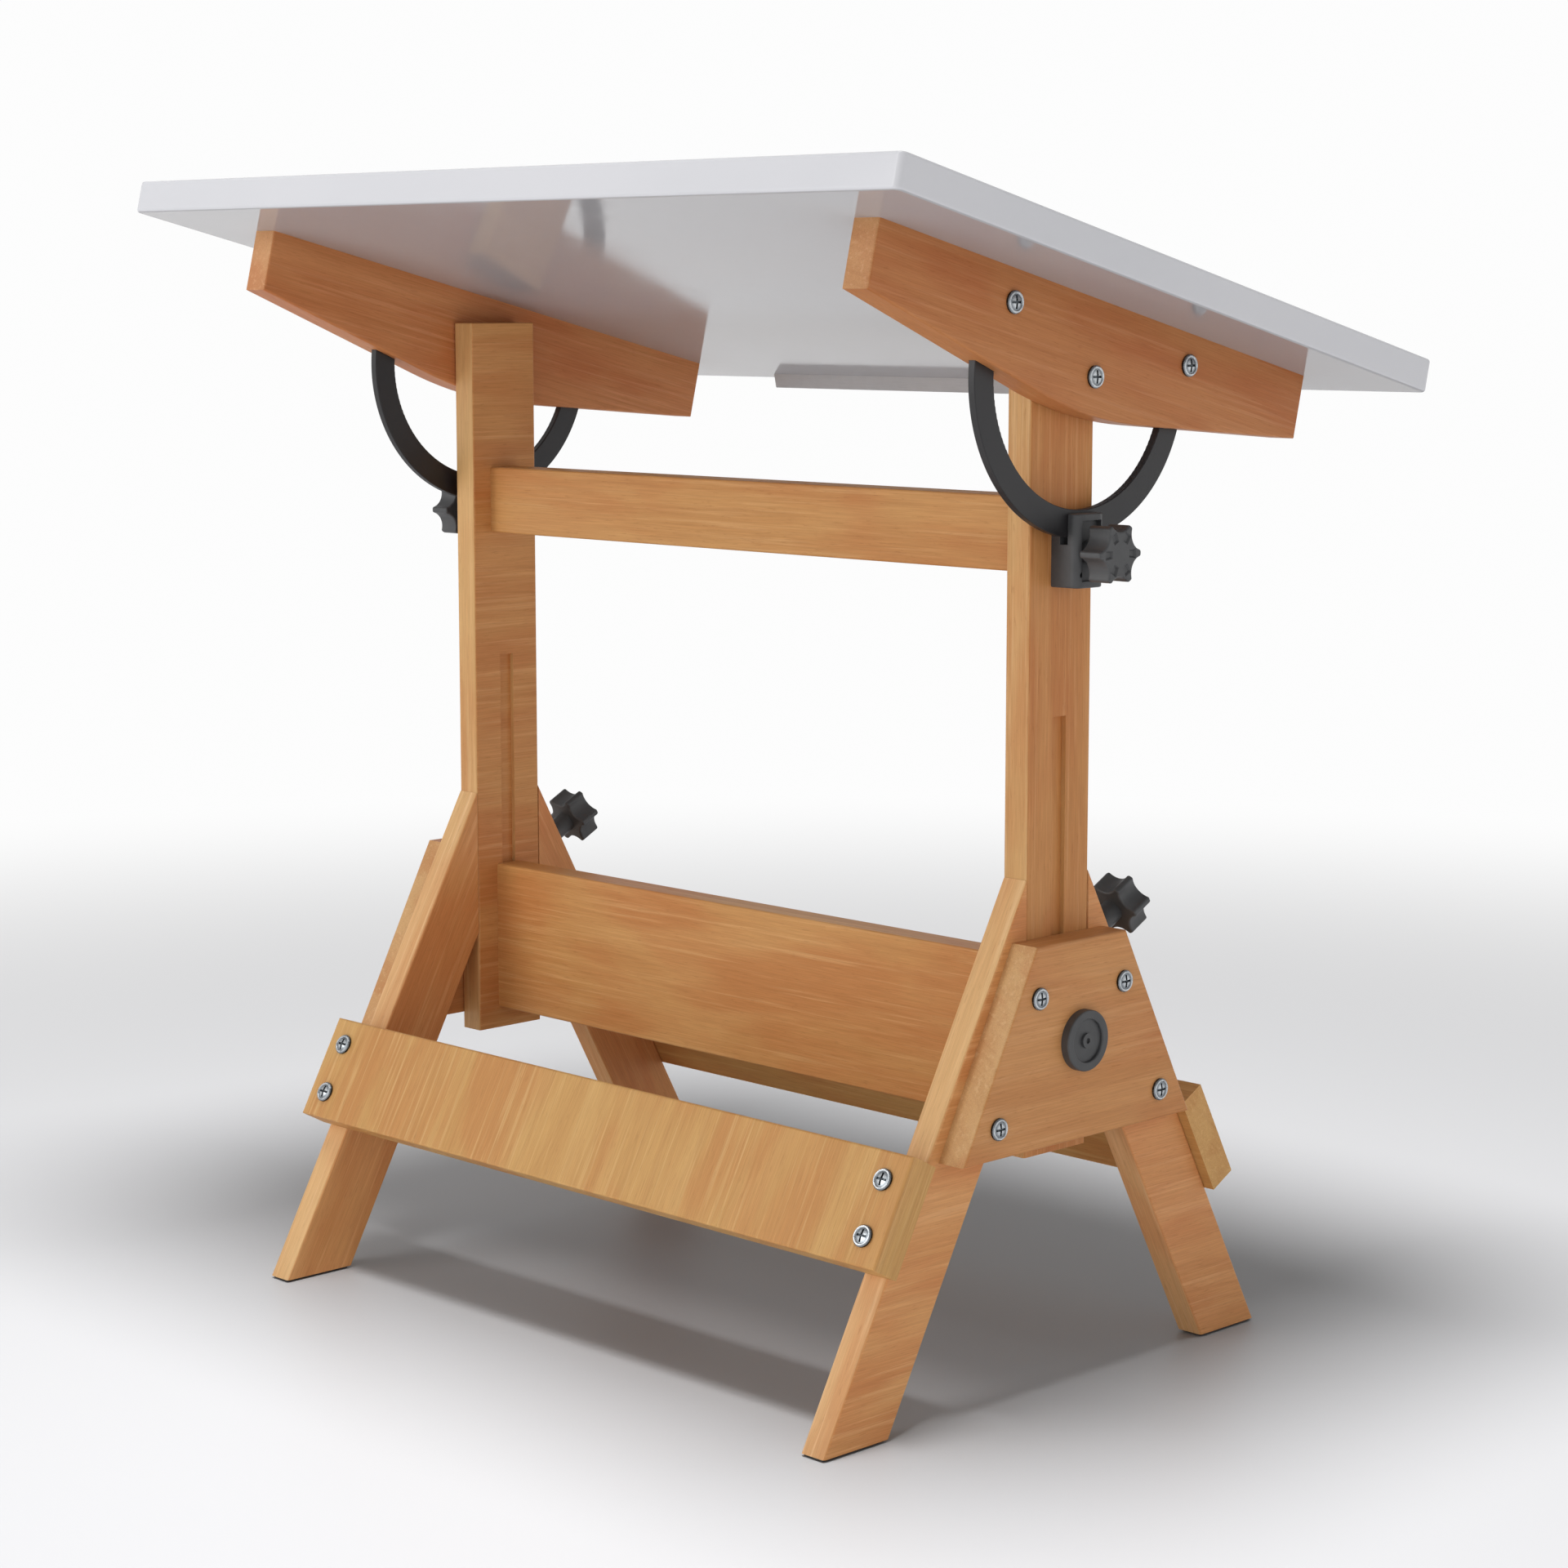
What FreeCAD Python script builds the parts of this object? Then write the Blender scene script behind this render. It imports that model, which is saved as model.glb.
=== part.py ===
"""Wooden drafting table: tilting board on a height-adjustable stand.

Frame: millimetres, +Z up, floor at z = 0, -Y is the user's side, X runs along the board.
The origin lies on the floor under the middle of the whole table's outline.
The stand itself is symmetric about the plane y = stand_centre.
"""
import FreeCAD, Part
import math
import os
import re

import Sketcher

Vector = FreeCAD.Vector
Placement = FreeCAD.Placement
Rotation = FreeCAD.Rotation

LEFT, RIGHT = -1, 1
FRONT, REAR = -1, 1
SIDE_NAME = {LEFT: "left", RIGHT: "right"}
END_NAME = {FRONT: "front", REAR: "rear"}
X_AXIS = Vector(1, 0, 0)
Z_AXIS = Vector(0, 0, 1)

# ------------------------------------------------------------------ driving dimensions
SIZES = {
    # where the stand and the board sit
    "stand_centre": 21.56,           # stand's middle plane behind the origin
    "pivot_offset": -5,              # tilt axis, from the stand's middle plane
    "pivot_height": 941,
    "board_tilt": 13.5,              # degrees, as stored
    # board
    "board_width": 1067,
    "board_front_reach": 369,        # along the board, from the tilt axis
    "board_back_reach": 384.5,
    "board_lift": 68,                # tilt axis to the board's underside
    "board_thickness": 32,
    "board_round": 3,
    "board_corner_round": 7,         # upright corners
    # bearers under the board
    "bearer_inner": 406.2,
    "bearer_thickness": 31.3,
    "bearer_half_length": 302,
    "bearer_end_low": 7.3,           # underside at the ends, above the tilt axis
    "bearer_belly_low": 34.2,        # underside at the middle, below the tilt axis
    "bearer_belly_half": 80,         # half of the rounded middle
    "bearer_knee_low": 27.7,         # underside where the rounded middle begins
    # tilt arcs, concentric with the tilt axis
    "arc_inner_face": 415.9,
    "arc_thickness": 8,
    "arc_inner_radius": 119,
    "arc_outer_radius": 144.5,
    "arc_end_angle": 23,             # the band runs this far past level at each end
    "arc_slot_gap": 0.5,
    "arc_round": 1,
    "arc_screw_front": 127.5,        # along the bearer, from the tilt axis
    "arc_screw_rear": 121.5,
    "arc_screw_up": 39,
    # posts
    "post_inner": 376.5,
    "post_thickness": 28.5,
    "post_depth": 86,
    "post_top": 984.5,
    "post_bottom": 227,
    "groove_width": 18,
    "groove_depth": 5,
    "groove_top": 633,
    "groove_bottom": 252,
    # stretchers between the posts
    "upper_stretcher_low": 764,
    "upper_stretcher_high": 833,
    "upper_stretcher_thick": 39,
    "lower_stretcher_low": 249.5,
    "lower_stretcher_high": 407,
    "lower_stretcher_thick": 33,
    # legs and gussets
    "leg_lean": 28.33,               # degrees from upright
    "leg_width": 73,
    "leg_thickness": 29,
    "foot_reach": 305.5,
    "foot_pad_thick": 2,
    "foot_pad_inset": 3,
    "slide_gap": 0.4,                # each side of a post, front to back
    "gusset_inner": 405.5,
    "gusset_thick": 30.5,
    "gusset_low": 243.5,
    "gusset_high": 431,
    "gusset_top_half": 62.6,
    "gusset_bottom_half": 159,
    # front and rear cross rails, measured up the legs' sloping faces
    "rail_low": 170.4,
    "rail_high": 277.3,
    "rail_thick": 32.5,
    "rail_half_length": 416,
    # clamp brackets for the arcs
    "bracket_low": 752,
    "bracket_high": 819,
    "bracket_half_width": 19,
    "bracket_reach": 32,             # out from the post
    "bracket_slot_floor": 791,
    "bracket_round": 9,              # the outer face's upright edges
    "bracket_rim": 6,
    "bracket_hollow_depth": 5,
    "clamp_height": 784,
    # star knobs
    "knob_radius": 28.5,
    "knob_thick": 25,
    "knob_scallop_radius": 15,
    "knob_valley_radius": 20.4,
    "knob_lobe_round": 2.4,
    "knob_edge_round": 2,
    "knob_hub_radius": 11,
    "knob_count": 6,
    "tilt_hub_length": 13.7,
    "tilt_knob_start": 446,          # back of the star, from the middle of the table
    "height_hub_length": 22,
    "height_knob_start": 23,         # back of the star, out from the leg's face
    "height_knob_along": 487,        # up the leg's outer face from the floor
    # metal fittings
    "stud_radius": 4,
    "insert_radius": 6,
    "insert_length": 12,
    "running_gap": 0.05,             # radial, round a turning shaft
    "screw_radius": 3,
    "screw_head_radius": 10.3,
    "screw_head_height": 3.9,
    "dowel_radius": 5,
    "dowel_length": 45,
    "guide_height": 337,
    "guide_cap_radius": 28.5,
    "guide_cap_thick": 8.5,
    "guide_recess_radius": 20,
    "guide_recess_depth": 3,
    "shoe_width": 17.4,
    "shoe_height": 44,
    "washer_thick": 1.1,
    "washer_radius": 12,
    # pencil ledge on the board's front edge
    "ledge_half_length": 334,
    "ledge_under": 20,               # how far it runs back under the board
    "ledge_drop": 14.1,              # below the board, at its deepest
    "ledge_rake": 6.7,               # how far its back face slopes forward going down
    "ledge_front_drop": 8.3,
    "ledge_front_thick": 7,
    "ledge_lip": 8,                  # above the drawing surface
    "edge_round": 2.5,
    "fine_round": 1.5,
}

GUSSET_SCREWS = [(59.2, 383.5), (113.3, 272)]        # from the stand's middle, and above the floor
RAIL_SCREW_SPACING = 53
LOWER_DOWEL_HEIGHTS = [285, 328, 371]
UPPER_DOWEL_HEIGHTS = [780, 817]
BOARD_DOWELS = [-250, -190, 0, 190, 250]             # along the bearer, from the tilt axis
BOARD_DOWEL_RADIUS = 4
BOARD_DOWEL_HALF = 14
LEDGE_SCREWS = [-300, -150, 0, 150, 300]
RAIL_SCREW_LENGTH = 70
GUSSET_SCREW_LENGTH = 52
ARC_SCREW_LENGTH = 28
LEDGE_SCREW_LENGTH = 26
LEDGE_SCREW_FLOOR = 6                                # ledge left between a screw's head and the board
BRACKET_SCREW_LENGTH = 28
BRACKET_SCREW_SEAT = 14                              # head's underside, out from the post
BRACKET_SCREW_DROP = 20                              # below the clamp stud
BRACKET_SCREW_ASIDE = 11                             # each side of the clamp stud
SMALL_SCREW_RADIUS = 2
SMALL_HEAD_RADIUS = 3.6
SMALL_HEAD_HEIGHT = 2.2
STUD_IN_KNOB = 16
TIP_ROOM = 3                                         # free depth past an insert
HOLE_GAP = 0.1                                       # radial, round a fixed fastener
END_GAP = 0.5                                        # past the end of a fixed fastener
LEG_MIDDLE = "post_inner + leg_thickness / 2"

doc = FreeCAD.newDocument("DraftingTable")
sheet = doc.addObject("Spreadsheet::Sheet", "Sizes")
for row, (alias, size) in enumerate(SIZES.items(), start=1):
    sheet.set(f"A{row}", alias)
    sheet.set(f"B{row}", str(size))
    sheet.setAlias(f"B{row}", alias)
doc.recompute()

subparts = {}


# ------------------------------------------------------------------ building blocks
def formula(text):
    """A formula in plain alias names, with each alias looked up on the sheet."""
    return re.sub(r"\b([a-z]+(?:_[a-z]+)+)\b", r"Sizes.\1", str(text))


def number(text):
    """What a formula is worth now."""
    return float(sheet.evalExpression(formula(text)))


def bind(item, prop, text):
    item.setExpression(prop, formula(text))


def name_subpart(item, name):
    item.Label = name
    subparts[name] = item
    return item


def new_body(name, y="stand_centre", z="0", angle="0"):
    """A body whose own frame sits at (0, y, z), turned about X by angle."""
    body = doc.addObject("PartDesign::Body", name)
    body.Placement = Placement(Vector(0, 0, 0), Rotation(X_AXIS, number(angle)))
    bind(body, "Placement.Base.y", y)
    bind(body, "Placement.Base.z", z)
    bind(body, "Placement.Rotation.Angle", angle)
    return name_subpart(body, name)


def board_body(name):
    """A body in the board's frame: X along the tilt axis, Y up the slope, Z square to it."""
    return new_body(name, "stand_centre + pivot_offset", "pivot_height", "board_tilt")


def leg_body(name, end):
    """A body in a leg's frame: Z up the leg's outer face from the floor, end * Y outward."""
    return new_body(name, f"stand_centre + {end} * foot_reach", "0", f"{end} * leg_lean")


def new_sketch(body, plane, offset="0"):
    """A sketch parallel to one of the body's planes; YZ looks along +X, XY along +Z."""
    support = [item for item in body.Origin.OriginFeatures if item.Role == f"{plane}_Plane"][0]
    sketch = body.newObject("Sketcher::SketchObject", f"{body.Name}_sketch")
    sketch.AttachmentSupport = [(support, "")]
    sketch.MapMode = "FlatFace"
    bind(sketch, "AttachmentOffset.Base.z", offset)
    return sketch


def pin_point(sketch, geometry, point, across, along):
    """Bind one sketch point to its two distances from the sketch's origin."""
    for kind, text in (("DistanceX", across), ("DistanceY", along)):
        index = sketch.addConstraint(Sketcher.Constraint(kind, -1, 1, geometry, point, number(text)))
        bind(sketch, f"Constraints[{index}]", text)


def draw_outline(sketch, points, bulge=None):
    """A closed outline; bulge = (first point's index, middle point) makes that side an arc."""
    corners = [Vector(number(across), number(along), 0) for across, along in points]
    count = len(corners)
    for index, corner in enumerate(corners):
        following = corners[(index + 1) % count]
        if bulge and bulge[0] == index:
            middle = Vector(number(bulge[1][0]), number(bulge[1][1]), 0)
            sketch.addGeometry(Part.Arc(corner, middle, following))
        else:
            sketch.addGeometry(Part.LineSegment(corner, following))
    arc_runs_backward = False
    if bulge:
        arc_runs_backward = sketch.Geometry[bulge[0]].StartPoint.distanceToPoint(corners[bulge[0]]) > 1e-6

    def tip(index, which):
        if bulge and index == bulge[0] and arc_runs_backward:
            return 3 - which
        return which

    for index, (across, along) in enumerate(points):
        previous = (index - 1) % count
        sketch.addConstraint(Sketcher.Constraint("Coincident", previous, tip(previous, 2),
                                                 index, tip(index, 1)))
        pin_point(sketch, index, tip(index, 1), across, along)
    return sketch


def draw_circle(sketch, across, along, radius):
    centre = Vector(number(across), number(along), 0)
    index = sketch.addGeometry(Part.Circle(centre, Z_AXIS, number(radius)))
    pin_point(sketch, index, 3, across, along)
    constraint = sketch.addConstraint(Sketcher.Constraint("Radius", index, number(radius)))
    bind(sketch, f"Constraints[{constraint}]", radius)


def rectangle(low_across, low_along, high_across, high_along):
    return [(low_across, low_along), (high_across, low_along),
            (high_across, high_along), (low_across, high_along)]


def pad(body, sketch, length):
    """Add material from the sketch, along its normal."""
    feature = body.newObject("PartDesign::Pad", f"{body.Name}_pad")
    feature.Profile = sketch
    bind(feature, "Length", length)
    return feature


def pocket(body, sketch, length, flare="0"):
    """Remove material from the sketch, along its normal; flare opens the walls out, in degrees."""
    doc.recompute()
    before = body.Shape.Volume
    feature = body.newObject("PartDesign::Pocket", f"{body.Name}_pocket")
    feature.Profile = sketch
    feature.Reversed = True
    bind(feature, "Length", length)
    bind(feature, "TaperAngle", flare)
    doc.recompute()
    if not body.Shape.Volume < before:
        raise RuntimeError(f"{feature.Name} removes nothing")
    return feature


def repeat_round(body, feature, sketch, count):
    """Repeat a feature evenly about the sketch's own normal."""
    ring = body.newObject("PartDesign::PolarPattern", f"{feature.Name}_ring")
    ring.Originals = [feature]
    ring.Axis = (sketch, ["N_Axis"])
    ring.Angle = 360
    bind(ring, "Occurrences", count)
    body.Tip = ring
    return ring


def turn_profile(body, profile):
    """Turn a profile a full circle about its own upright axis."""
    turned = body.newObject("PartDesign::Revolution", f"{body.Name}_turned")
    turned.Profile = profile
    turned.ReferenceAxis = (profile, ["V_Axis"])
    turned.Angle = 360
    doc.recompute()
    return turned


def drill(body, plane, start, length, centres, radius):
    """Round holes square to a plane, from start along the plane's normal."""
    sketch = new_sketch(body, plane, start)
    for across, along in centres:
        draw_circle(sketch, across, along, radius)
    return pocket(body, sketch, length)


def round_edges(body, radius, wanted):
    """Round the edges of the body's last feature that the test picks."""
    doc.recompute()
    base = body.Tip
    names = [f"Edge{index}" for index, edge in enumerate(base.Shape.Edges, start=1) if wanted(edge)]
    feature = body.newObject("PartDesign::Fillet", f"{body.Name}_round")
    feature.Base = (base, names)
    bind(feature, "Radius", radius)
    doc.recompute()
    return feature


def runs_along(axis, shortest=0.0):
    """Test for straight edges along one axis, 0, 1 or 2, of the body's own frame."""
    def wanted(edge):
        if edge.Length <= shortest or len(edge.Vertexes) != 2:
            return False
        span = edge.Vertexes[1].Point - edge.Vertexes[0].Point
        return abs(abs(span[axis]) - edge.Length) < 1e-6
    return wanted


def at_level(axis, *levels):
    """Test for edges that lie wholly in a plane square to one axis, at one of the levels."""
    def wanted(edge):
        box = edge.BoundBox
        low = (box.XMin, box.YMin, box.ZMin)[axis]
        high = (box.XMax, box.YMax, box.ZMax)[axis]
        return any(abs(low - level) < 1e-4 and abs(high - level) < 1e-4 for level in levels)
    return wanted


def low_x(side, inner, thickness):
    """The sketch plane's x for a piece that spans inner to inner + thickness on one side."""
    return inner if side == RIGHT else f"-({inner}) - ({thickness})"


def cylinder(name, base, direction, radius, length, bore=0.0):
    """A rod or a ring; its radius and length follow the sheet."""
    rod = doc.addObject("Part::Cylinder", name)
    bind(rod, "Radius", radius)
    bind(rod, "Height", length)
    placement = Placement(base, Rotation(Z_AXIS, direction))
    rod.Placement = placement
    if not bore:
        return rod
    hole = doc.addObject("Part::Cylinder", f"{name}_bore")
    bind(hole, "Radius", bore)
    bind(hole, "Height", length)
    hole.Placement = placement
    ring = doc.addObject("Part::Cut", f"{name}_ring")
    ring.Base = rod
    ring.Tool = hole
    return ring


def group(name, members):
    """Identical loose pieces that share one node."""
    compound = doc.addObject("Part::Compound", name)
    compound.Links = members
    return name_subpart(compound, name)


def outward(side):
    return Vector(side, 0, 0)


def board_placement():
    base = Vector(0, number("stand_centre + pivot_offset"), number("pivot_height"))
    return Placement(base, Rotation(X_AXIS, number("board_tilt")))


def leg_placement(end):
    base = Vector(0, number(f"stand_centre + {end} * foot_reach"), 0)
    return Placement(base, Rotation(X_AXIS, end * number("leg_lean")))


# ------------------------------------------------------------------ screws
def screw_master(name, shank_length, shank_radius="screw_radius"):
    """Screw with a cross recess in a dome inside a raised rim: head above z = 0, shank below it."""
    side_height = 2.2
    rim_height = 3.4
    rim_outer_inset = 1.2
    rim_inner_inset = 2.4
    groove_inset = 3.2
    groove_height = 2.7
    recess_length = 12
    recess_width = 2.2
    recess_depth = 2.2
    head = "screw_head_radius"
    body = doc.addObject("PartDesign::Body", name)
    profile = new_sketch(body, "XZ")
    draw_outline(profile, [
        ("0", f"-({shank_length})"), (shank_radius, f"-({shank_length})"), (shank_radius, "0"),
        (head, "0"), (head, side_height), (f"{head} - {rim_outer_inset}", rim_height),
        (f"{head} - {rim_inner_inset}", rim_height), (f"{head} - {groove_inset}", groove_height),
        ("0", "screw_head_height"),
    ])
    turn_profile(body, profile)
    for length, width in ((recess_length, recess_width), (recess_width, recess_length)):
        slot = new_sketch(body, "XY", f"screw_head_height - {recess_depth}")
        draw_outline(slot, rectangle(-length / 2, -width / 2, length / 2, width / 2))
        pocket(body, slot, recess_depth)
    doc.recompute()
    return body


def plain_screw_master(name, shank_length):
    """Small flat-headed screw for hidden places: head above z = 0, shank below it."""
    body = doc.addObject("PartDesign::Body", name)
    profile = new_sketch(body, "XZ")
    draw_outline(profile, [
        ("0", -shank_length), (SMALL_SCREW_RADIUS, -shank_length), (SMALL_SCREW_RADIUS, "0"),
        (SMALL_HEAD_RADIUS, "0"), (SMALL_HEAD_RADIUS, SMALL_HEAD_HEIGHT), ("0", SMALL_HEAD_HEIGHT),
    ])
    turn_profile(body, profile)
    return body


def screw_group(name, master, places):
    """Copies of a screw; each place is where the head's underside sits and which way it faces."""
    copies = []
    for point, direction in places:
        copy = master.Shape.copy()
        copy.Placement = Placement(point, Rotation(Z_AXIS, direction))
        copies.append(copy)
    feature = doc.addObject("Part::Feature", name)
    feature.Shape = Part.makeCompound(copies)
    return name_subpart(feature, name)


# ------------------------------------------------------------------ base: legs, gussets, rails
LEAN_SIN = "sin(leg_lean)"
LEAN_COS = "cos(leg_lean)"
CUT_FACE = "(post_depth / 2 + slide_gap)"


def leg_point(from_middle, height):
    """A point of the stand's side view in a leg's own frame: outward, and up the slope."""
    out = f"(({from_middle} - foot_reach) * {LEAN_COS} + {height} * {LEAN_SIN})"
    up = f"((foot_reach - {from_middle}) * {LEAN_SIN} + {height} * {LEAN_COS})"
    return out, up


def rail_screw_heights():
    middle = "(rail_low + rail_high) / 2"
    return [f"{middle} - {RAIL_SCREW_SPACING / 2}", f"{middle} + {RAIL_SCREW_SPACING / 2}"]


def drill_leg(body, end, depth, centres, radius):
    """Holes square to a leg's outer face; the sketch plane looks along -Y."""
    start = f"-({depth})" if end == FRONT else "0"
    return drill(body, "XZ", start, depth, centres, radius)


def make_leg(side, end):
    body = leg_body(f"leg_{END_NAME[end]}_{SIDE_NAME[side]}", end)
    start = low_x(side, "post_inner", "leg_thickness")
    profile = new_sketch(body, "YZ", start)
    top = f"((foot_reach - {CUT_FACE}) / {LEAN_SIN})"
    crotch = f"((foot_reach - {CUT_FACE} - leg_width * {LEAN_COS}) / {LEAN_SIN})"
    draw_outline(profile, [
        ("0", f"foot_pad_thick / {LEAN_COS}"),
        ("0", top),
        (f"-({end}) * leg_width", crotch),
        (f"-({end}) * leg_width", f"(foot_pad_thick + leg_width * {LEAN_SIN}) / {LEAN_COS}"),
    ])
    pad(body, profile, "leg_thickness")
    round_edges(body, "edge_round", runs_along(2))
    middle = f"{side} * ({LEG_MIDDLE})"
    screw_holes = [leg_point(*place) for place in GUSSET_SCREWS]
    depth = f"({GUSSET_SCREW_LENGTH + END_GAP} - gusset_thick)"
    hole_start = f"gusset_inner - {depth}" if side == RIGHT else "-gusset_inner"
    drill(body, "YZ", hole_start, depth, [(f"{end} * {out}", up) for out, up in screw_holes],
          f"screw_radius + {HOLE_GAP}")
    rail_depth = f"{RAIL_SCREW_LENGTH + END_GAP} - rail_thick"
    drill_leg(body, end, rail_depth, [(middle, height) for height in rail_screw_heights()],
              f"screw_radius + {HOLE_GAP}")
    if end == FRONT:
        knob_place = [(middle, "height_knob_along")]
        drill_leg(body, end, "leg_width", knob_place, f"stud_radius + {HOLE_GAP}")
        drill_leg(body, end, f"insert_length + {END_GAP}", knob_place, "insert_radius + running_gap")


def make_gusset(side):
    body = new_body(f"gusset_{SIDE_NAME[side]}")
    start = low_x(side, "gusset_inner", "gusset_thick")
    profile = new_sketch(body, "YZ", start)
    draw_outline(profile, [
        ("-gusset_bottom_half", "gusset_low"), ("gusset_bottom_half", "gusset_low"),
        ("gusset_top_half", "gusset_high"), ("-gusset_top_half", "gusset_high"),
    ])
    pad(body, profile, "gusset_thick")
    outer = side * number("gusset_inner + gusset_thick")
    round_edges(body, "edge_round", at_level(0, outer))
    holes = [(f"{end} * {out}", up) for end in (FRONT, REAR) for out, up in GUSSET_SCREWS]
    drill(body, "YZ", start, "gusset_thick", holes, f"screw_radius + {HOLE_GAP}")
    drill(body, "YZ", start, "gusset_thick", [("0", "guide_height")], f"stud_radius + {HOLE_GAP}")


def make_rail(end):
    body = leg_body(f"rail_{END_NAME[end]}", end)
    profile = new_sketch(body, "YZ", "-rail_half_length")
    draw_outline(profile, rectangle("0", "rail_low", f"{end} * rail_thick", "rail_high"))
    pad(body, profile, "2 * rail_half_length")
    round_edges(body, "edge_round", at_level(1, end * number("rail_thick")))
    places = [(f"{side} * ({LEG_MIDDLE})", height)
              for side in (LEFT, RIGHT) for height in rail_screw_heights()]
    start = "0" if end == FRONT else "-rail_thick"
    drill(body, "XZ", start, "rail_thick", places, f"screw_radius + {HOLE_GAP}")


def make_foot_pads():
    pads = []
    foot_length = f"leg_width / {LEAN_COS}"
    for side in (LEFT, RIGHT):
        for end in (FRONT, REAR):
            block = doc.addObject("Part::Box", f"foot_pad_{END_NAME[end]}_{SIDE_NAME[side]}")
            bind(block, "Length", "leg_thickness - 2 * foot_pad_inset")
            bind(block, "Width", f"{foot_length} - 2 * foot_pad_inset")
            bind(block, "Height", "foot_pad_thick")
            near_x = f"{side} * ({LEG_MIDDLE}) - leg_thickness / 2 + foot_pad_inset"
            outer_y = f"foot_reach - {foot_length} + foot_pad_inset"
            if end == FRONT:
                outer_y = "-foot_reach + foot_pad_inset"
            bind(block, "Placement.Base.x", near_x)
            bind(block, "Placement.Base.y", f"stand_centre + {outer_y}")
            pads.append(block)
    group("foot_pads", pads)


def make_base_screws():
    rail_master = screw_master("rail_screw_master", RAIL_SCREW_LENGTH)
    places = []
    for end in (FRONT, REAR):
        frame = leg_placement(end)
        direction = frame.Rotation.multVec(Vector(0, end, 0))
        for side in (LEFT, RIGHT):
            for height in rail_screw_heights():
                point = Vector(side * number(LEG_MIDDLE), end * number("rail_thick"), number(height))
                places.append((frame.multVec(point), direction))
    screw_group("rail_screws", rail_master, places)

    gusset_master = screw_master("gusset_screw_master", GUSSET_SCREW_LENGTH)
    outer = number("gusset_inner + gusset_thick")
    middle = number("stand_centre")
    places = [(Vector(side * outer, middle + end * out, up), outward(side))
              for side in (LEFT, RIGHT) for end in (FRONT, REAR) for out, up in GUSSET_SCREWS]
    screw_group("gusset_screws", gusset_master, places)


def make_guides():
    """Bolt, cap and shoe that keep each post in its gusset; the shoe runs in the post's groove."""
    head_radius = 7
    head_height = 2.6
    socket_radius = 2.9
    socket_depth = 2
    past_face = 1
    shoe_thick = number("groove_depth")
    outer = number("gusset_inner + gusset_thick")
    cap_floor = number("guide_cap_thick - guide_recess_depth")
    height = number("guide_height")
    middle = number("stand_centre")
    bolts, shoes = [], []
    for side in (LEFT, RIGHT):
        cap = doc.addObject("PartDesign::Body", f"guide_cap_{SIDE_NAME[side]}")
        profile = new_sketch(cap, "XZ")
        draw_outline(profile, [
            (f"stud_radius + {HOLE_GAP}", "0"), ("guide_cap_radius", "0"),
            ("guide_cap_radius", "guide_cap_thick"), ("guide_recess_radius", "guide_cap_thick"),
            ("guide_recess_radius", "guide_cap_thick - guide_recess_depth"),
            (f"stud_radius + {HOLE_GAP}", "guide_cap_thick - guide_recess_depth"),
        ])
        turn_profile(cap, profile)
        round_edges(cap, "fine_round", at_level(2, number("guide_cap_thick")))
        cap.Placement = Placement(Vector(side * outer, middle, height), Rotation(Z_AXIS, outward(side)))
        name_subpart(cap, f"guide_cap_{SIDE_NAME[side]}")

        name = f"guide_bolt_{SIDE_NAME[side]}"
        inner_end = Vector(side * (number("gusset_inner") - shoe_thick + END_GAP), middle, height)
        shank_length = outer + cap_floor - abs(inner_end.x)
        shank = cylinder(f"{name}_shank", inner_end, outward(side), "stud_radius", shank_length)
        seat = Vector(side * (outer + cap_floor), middle, height)
        head = cylinder(f"{name}_head", seat, outward(side), head_radius, head_height)
        socket = doc.addObject("Part::Prism", f"{name}_socket")
        socket.Polygon = 6
        socket.Circumradius = socket_radius
        socket.Height = socket_depth + past_face
        socket.Placement = Placement(seat + outward(side) * (head_height - socket_depth),
                                     Rotation(Z_AXIS, outward(side)))
        whole = doc.addObject("Part::Fuse", f"{name}_whole")
        whole.Base = shank
        whole.Tool = head
        bolt = doc.addObject("Part::Cut", name)
        bolt.Base = whole
        bolt.Tool = socket
        bolts.append(bolt)

        block = doc.addObject("Part::Box", f"guide_shoe_{SIDE_NAME[side]}_block")
        bind(block, "Length", "groove_depth")
        bind(block, "Width", "shoe_width")
        bind(block, "Height", "shoe_height")
        bind(block, "Placement.Base.x", low_x(side, "gusset_inner - groove_depth", "groove_depth"))
        bind(block, "Placement.Base.y", "stand_centre - shoe_width / 2")
        bind(block, "Placement.Base.z", "guide_height - shoe_height / 2")
        hole = cylinder(f"guide_shoe_{SIDE_NAME[side]}_hole", inner_end - outward(side) * shoe_thick,
                        outward(side), f"stud_radius + {HOLE_GAP}", "2 * groove_depth")
        shoe = doc.addObject("Part::Cut", f"guide_shoe_{SIDE_NAME[side]}")
        shoe.Base = block
        shoe.Tool = hole
        shoes.append(shoe)
    group("guide_bolts", bolts)
    group("guide_shoes", shoes)


def make_height_inserts():
    """Threaded bushes in the front legs, on the height knobs' sloping axes."""
    frame = leg_placement(FRONT)
    out = frame.Rotation.multVec(Vector(0, FRONT, 0))
    members = []
    for side in (LEFT, RIGHT):
        face = frame.multVec(Vector(side * number(LEG_MIDDLE), 0, number("height_knob_along")))
        start = face - out * number("insert_length")
        members.append(cylinder(f"height_insert_{SIDE_NAME[side]}", start, out,
                                "insert_radius", "insert_length", "stud_radius + running_gap"))
    group("height_inserts", members)


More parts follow.
